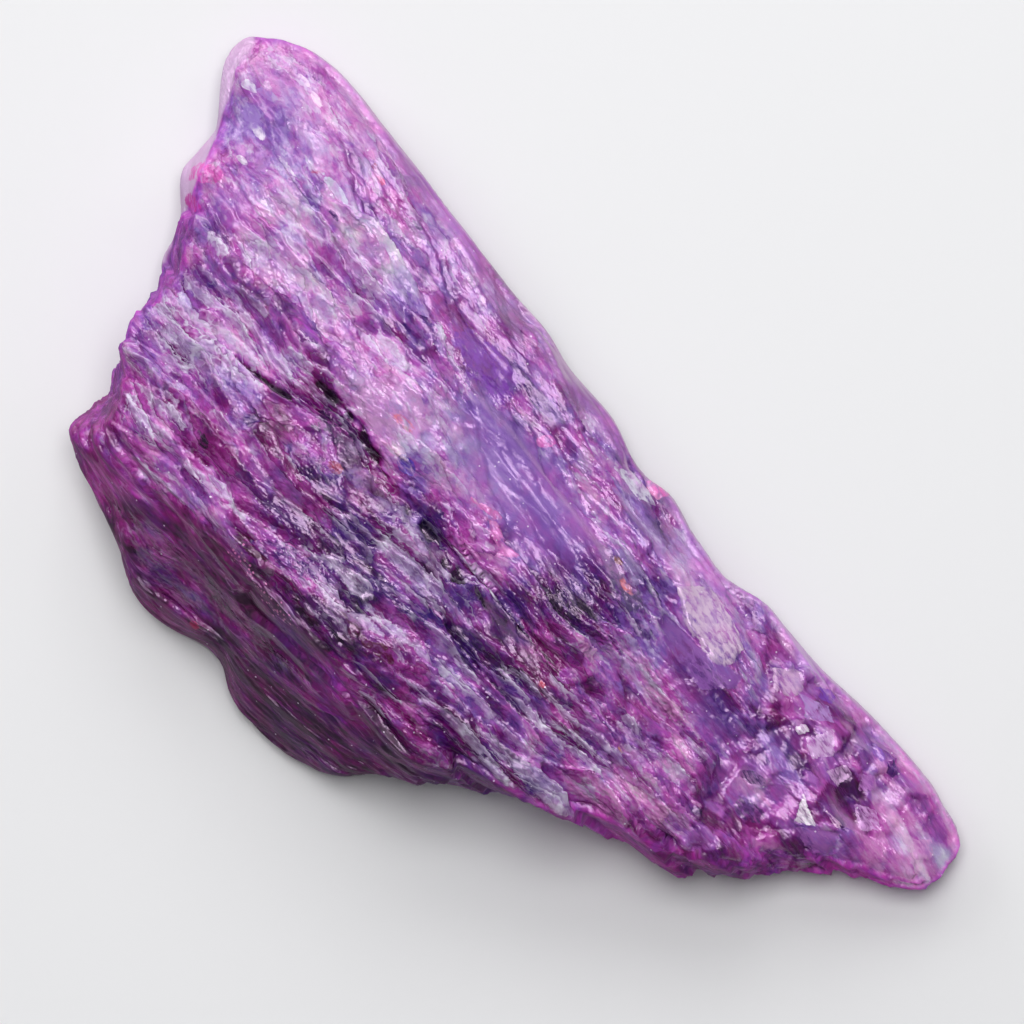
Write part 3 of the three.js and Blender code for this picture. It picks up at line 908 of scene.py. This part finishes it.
def lay_walls(graph, read, body):
    """The steep walls' painted shade, and the painted sheen of pale lines along them."""
    deep = graph.mix(1.0, body, WALL_SHADE, "MULTIPLY")
    body = graph.mix(graph.math("MULTIPLY", read.wall, graph.ramp(read.rim, 0.85, 0.1)), body, deep)
    # Painted sheen: pale lines along the steps of the walls.
    sheen_line = graph.noise(graph.stretch(read.grain, (0.22, 1.5, 1.5)), 1.0, 2, 0.5)
    sheen_line = graph.ramp(graph.math("ABSOLUTE", graph.math("SUBTRACT", sheen_line, 0.5)), 0.015, 0.004)
    sheen_line = graph.math("MULTIPLY", sheen_line, read.wall)
    sheen_line = graph.math("MULTIPLY", sheen_line, graph.ramp(read.streak, 0.45, 0.6))
    return graph.mix(graph.math("MULTIPLY", sheen_line, 0.5), body, WALL_SHEEN_COLOUR)


def lay_dust_and_crumbs(graph, read, body):
    dust = graph.dots(read.place, DUST_SPACE, DUST_RADIUS, DUST_SHARE)
    body = graph.mix(graph.math("MULTIPLY", dust, 0.8), body, DUST_COLOUR)
    crumbs = graph.dots(read.place, CRUMB_SPACE, CRUMB_RADIUS, graph.attribute("crumbs"))
    return graph.mix(graph.math("MULTIPLY", crumbs, 0.65), body, CRUMB_COLOUR)


def bumped_normal(graph, read):
    """The normal with the painted splinters' steps and the walls' upward tilt."""
    rise, _, pick = read.big
    small_rise, _, small_pick = read.small
    step = graph.math("MULTIPLY", rise, graph.sum(0.05, (pick[0], 0.2, 0.0)))
    small_step = graph.math("MULTIPLY", small_rise, graph.sum(0.01, (small_pick[1], 0.06, 0.0)))
    height = graph.math("MULTIPLY", graph.math("ADD", step, small_step), read.crisp)
    height = graph.sum(height, (read.speckle[1], 0.012, 0.5))
    upward = graph.add("CombineXYZ", {"Z": graph.math("MULTIPLY", read.wall, WALL_UPWARD)}).outputs[0]
    facing = graph.add("NewGeometry").outputs["Normal"]
    facing = graph.add("VectorMath", {0: facing, 1: upward}, operation="ADD").outputs[0]
    facing = graph.add("VectorMath", {0: facing}, operation="NORMALIZE").outputs[0]
    values = {"Strength": 1.0, "Distance": MM, "Height": height, "Normal": facing}
    return graph.add("Bump", values).outputs[0]


def sapphire_material():
    material = bpy.data.materials.new("rough_sapphire")
    graph = Graph(material)
    read = shared_sockets(graph)
    light, body = body_colour(graph, read)
    body = lay_spots(graph, read, body)
    body = lay_gap_shade_and_milk(graph, read, light, body)
    frost_and_sheen, body = lay_frost_and_sheen(graph, read, body)
    body = lay_walls(graph, read, body)
    body = lay_dust_and_crumbs(graph, read, body)
    rough = graph.sum(0.24, (frost_and_sheen, 0.2, 0.0), (read.speckle[2], 0.2, 0.5), (read.wall, 0.15, 0.0))
    shader = graph.add(
        "BsdfPrincipled",
        {
            "Base Color": body,
            "Roughness": rough,
            "IOR": SAPPHIRE_IOR,
            "Specular Tint": GLOSS_TINT,
            "Subsurface Weight": 0.2,
            "Subsurface Radius": (1.0, 0.4, 0.9),
            "Subsurface Scale": 0.0003,
            "Normal": bumped_normal(graph, read),
        },
    )
    graph.add("OutputMaterial", {"Surface": shader.outputs[0]})
    return material


def floor_material():
    material = bpy.data.materials.new("pale_floor")
    graph = Graph(material)
    shader = graph.add("BsdfPrincipled", {"Base Color": (0.8, 0.8, 0.81), "Roughness": 0.75})
    graph.add("OutputMaterial", {"Surface": shader.outputs[0]})
    return material


# ---------------------------------------------------------------------------------------------
# The stone


def store(mesh, name, values):
    kind = "FLOAT_VECTOR" if values.ndim == 2 else "FLOAT"
    field = "vector" if values.ndim == 2 else "value"
    attribute = mesh.attributes.new(name, kind, "POINT")
    attribute.data.foreach_set(field, values.astype(np.float32).ravel())


def build_stone():
    points, faces = fine_mesh(NODE)
    normals = corner_normals(points, faces)
    carved, fields = relief(points, normals)

    mesh = bpy.data.meshes.new("sapphire")
    mesh.from_pydata((carved * MM).tolist(), [], faces.tolist())
    mesh.polygons.foreach_set("use_smooth", np.ones(len(faces), bool))
    store(mesh, "place", points)
    for name, values in fields.items():
        store(mesh, name, values)

    stone = bpy.data.objects.new("sapphire", mesh)
    bpy.context.scene.collection.objects.link(stone)
    mesh.materials.append(sapphire_material())
    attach(stone, "root")
    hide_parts(NODE)


# ---------------------------------------------------------------------------------------------
# The studio

# The camera looks straight down. Its picture is turned so that the tip points down to the right.
CAMERA_HEIGHT = 355
AIM = Vector((-0.43, 4.28, 5))
PICTURE_WIDTH = 44.97
SENSOR = 36
TIP_TURN = math.radians(-50.5)


def place_camera():
    data = bpy.data.cameras.new("camera")
    data.sensor_width = SENSOR
    data.lens = SENSOR * (CAMERA_HEIGHT - AIM.z) / PICTURE_WIDTH
    data.clip_start = 0.01
    camera = bpy.data.objects.new("camera", data)
    camera.location = (AIM.x * MM, AIM.y * MM, CAMERA_HEIGHT * MM)
    camera.rotation_euler = (0, 0, -TIP_TURN)
    bpy.context.scene.collection.objects.link(camera)
    bpy.context.scene.camera = camera


# The lights' names, their distance and width in millimetres, how far they lean from straight up and
# how far round they are from the picture's top towards its right, in degrees, and their power. Their
# places started from a least-squares fit to the brightness of the photo's floor.
SOFTBOXES = [
    ("overhead", 250, 120, 12, 0, 0.375),
    ("window", 600, 300, 50, 0, 0.97),
    ("window_left", 600, 300, 66, -45, 1.19),
    ("reflector", 250, 120, 50, 45, 0.04),
]


def softbox(name, distance, size, lean, round_to, power):
    """A square soft light that faces the stone."""
    data = bpy.data.lights.new(name, "AREA")
    data.size = size * MM
    data.energy = power
    lamp = bpy.data.objects.new(name, data)
    turn = math.radians(90 - round_to) - TIP_TURN
    flat = math.sin(math.radians(lean))
    way = Vector((flat * math.cos(turn), flat * math.sin(turn), math.cos(math.radians(lean))))
    lamp.location = way * distance * MM
    lamp.rotation_euler = way.to_track_quat("Z", "Y").to_euler()
    lamp.visible_camera = False
    bpy.context.scene.collection.objects.link(lamp)


# A round floor. Its radius is in metres, and so is its drop below the stone's flat underside, which
# keeps the two surfaces apart.
FLOOR_RADIUS = 3
FLOOR_SIDES = 64
FLOOR_DROP = 0.00002


def build_floor():
    mesh = bpy.data.meshes.new("floor")
    angles = np.linspace(0, 2 * math.pi, FLOOR_SIDES, endpoint=False)
    around = [(FLOOR_RADIUS * math.cos(a), FLOOR_RADIUS * math.sin(a), 0) for a in angles]
    mesh.from_pydata(around, [], [range(FLOOR_SIDES)])
    mesh.materials.append(floor_material())
    floor = bpy.data.objects.new("floor", mesh)
    floor.location.z = -FLOOR_DROP
    bpy.context.scene.collection.objects.link(floor)


# The strength came from the same fit as the lights.
WORLD_COLOUR = (0.96, 0.97, 1, 1)
WORLD_STRENGTH = 0.17


def light_world():
    world = bpy.data.worlds.new("room")
    world.use_nodes = True
    background = world.node_tree.nodes["Background"]
    background.inputs[0].default_value = WORLD_COLOUR
    background.inputs[1].default_value = WORLD_STRENGTH
    bpy.context.scene.world = world
    bpy.context.scene.view_settings.view_transform = "Standard"


place_camera()
light_world()
build_floor()
build_stone()
for softbox_place in SOFTBOXES:
    softbox(*softbox_place)
